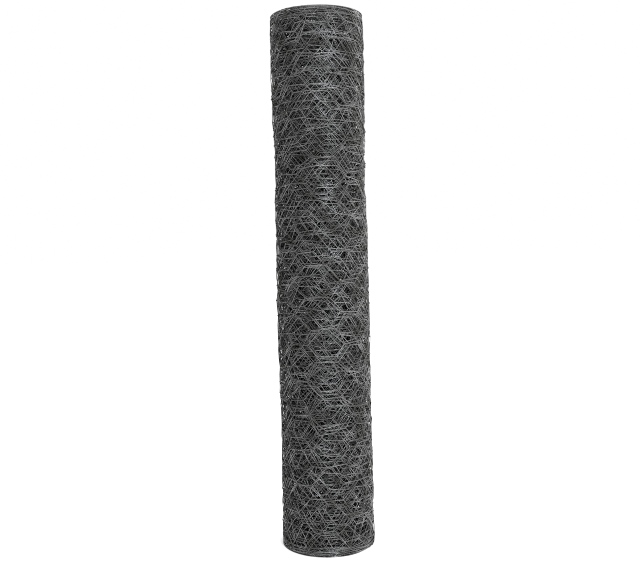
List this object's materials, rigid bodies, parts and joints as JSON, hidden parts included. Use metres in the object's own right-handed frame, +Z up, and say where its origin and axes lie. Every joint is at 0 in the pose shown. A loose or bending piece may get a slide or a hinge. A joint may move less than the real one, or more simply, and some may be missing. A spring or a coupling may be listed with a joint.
{
  "type": "roll of chicken wire",
  "caption": "Standing roll of hexagonal galvanised wire netting, wound round an open middle that takes a rod for unrolling.",
  "frame": {"origin": "centre of the end face that the roll stands on", "axes": "+Z up along the roll's axis; X and Y are across the roll, which is round, so their direction is free"},
  "size_m": [0.1059, 0.106, 0.61],
  "materials": {
    "galvanised_wire": "dull weathered zinc coat on thin drawn wire"
  },
  "bodies": {
    "root": {"netting_roll": "galvanised_wire"}
  },
  "joints": []
}
